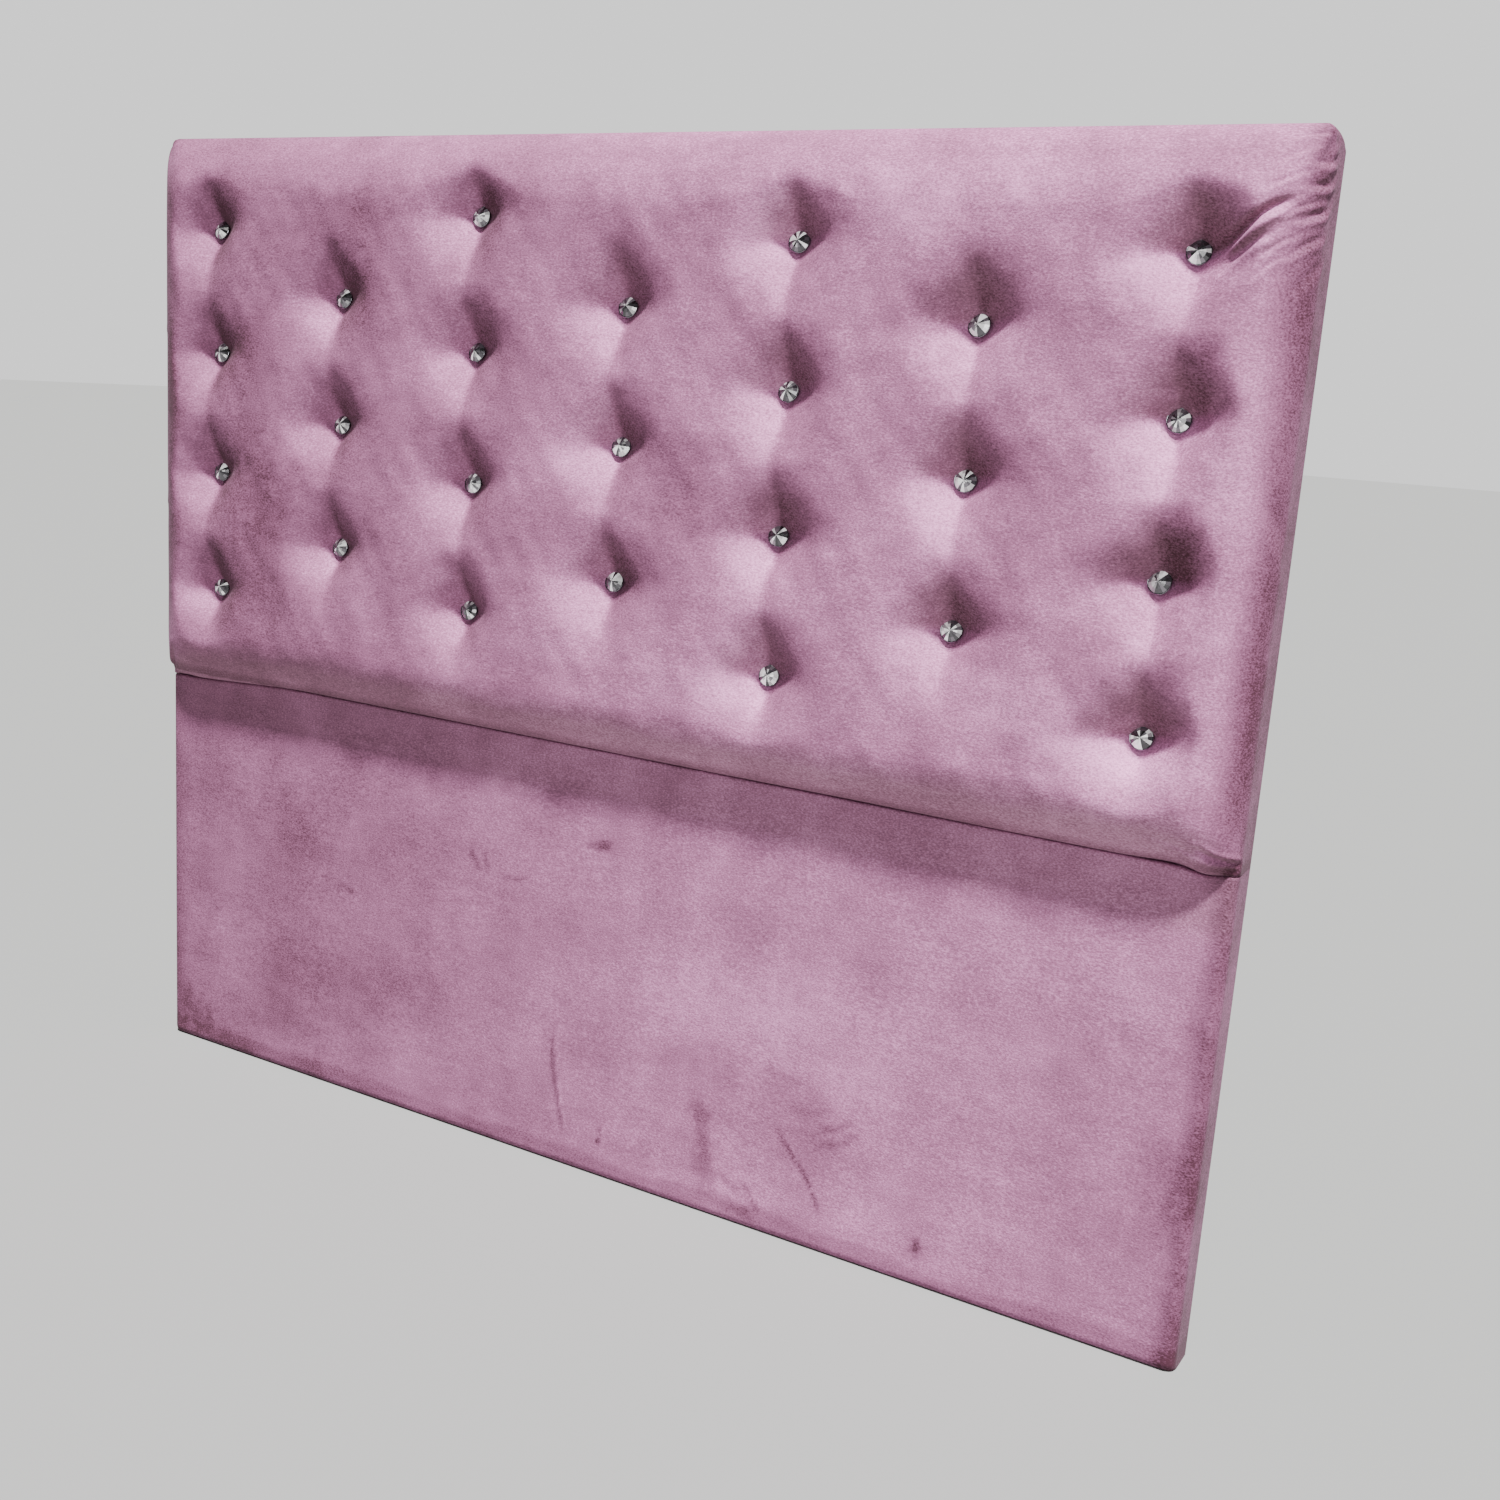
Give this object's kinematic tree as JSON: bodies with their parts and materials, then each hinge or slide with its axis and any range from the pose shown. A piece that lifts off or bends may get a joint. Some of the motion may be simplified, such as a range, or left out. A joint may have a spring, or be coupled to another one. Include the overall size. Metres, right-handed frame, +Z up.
{
  "type": "upholstered headboard",
  "caption": "Full-height velvet headboard: a deep-buttoned pad with crystal buttons over a plain panel, on a timber frame with a cloth back.",
  "frame": {"origin": "on the floor, under the middle of the headboard's box", "axes": "+Z up, +X along the width, +Y towards the wall behind the headboard; the buttons face -Y"},
  "size_m": [1.45, 0.088, 1.2],
  "materials": {
    "velvet": "matte",
    "foam": "matte",
    "crystal": "polished",
    "button_metal": "polished",
    "batten_timber": "matte",
    "board": "matte",
    "card": "matte",
    "twine": "matte",
    "screw_steel": "satin",
    "back_cloth": "matte"
  },
  "bodies": {
    "root": {"back_cloth": "back_cloth", "board_screws": "screw_steel", "bottom_rail": "batten_timber", "button_cups_column_1": "button_metal", "button_cups_column_2": "button_metal", "button_cups_column_3": "button_metal", "button_cups_column_4": "button_metal", "button_cups_column_5": "button_metal", "button_cups_column_6": "button_metal", "button_cups_column_7": "button_metal", "button_shanks": "button_metal", "button_stones_column_1": "crystal", "button_stones_column_2": "crystal", "button_stones_column_3": "crystal", "button_stones_column_4": "crystal", "button_stones_column_5": "crystal", "button_stones_column_6": "crystal", "button_stones_column_7": "crystal", "frame_screws": "screw_steel", "lower_board": "board", "lower_corner_block_left": "batten_timber", "lower_corner_block_right": "batten_timber", "lower_cover": "velvet", "lower_foam": "foam", "mid_rail": "batten_timber", "mid_stile_left": "batten_timber", "mid_stile_right": "batten_timber", "seam_rail": "batten_timber", "seam_tack_strip": "card", "stile_left": "batten_timber", "stile_right": "batten_timber", "top_rail": "batten_timber", "tufting_twine": "twine", "upper_board": "board", "upper_corner_block_left": "batten_timber", "upper_corner_block_right": "batten_timber", "upper_cover": "velvet", "upper_foam": "foam"}
  },
  "joints": []
}
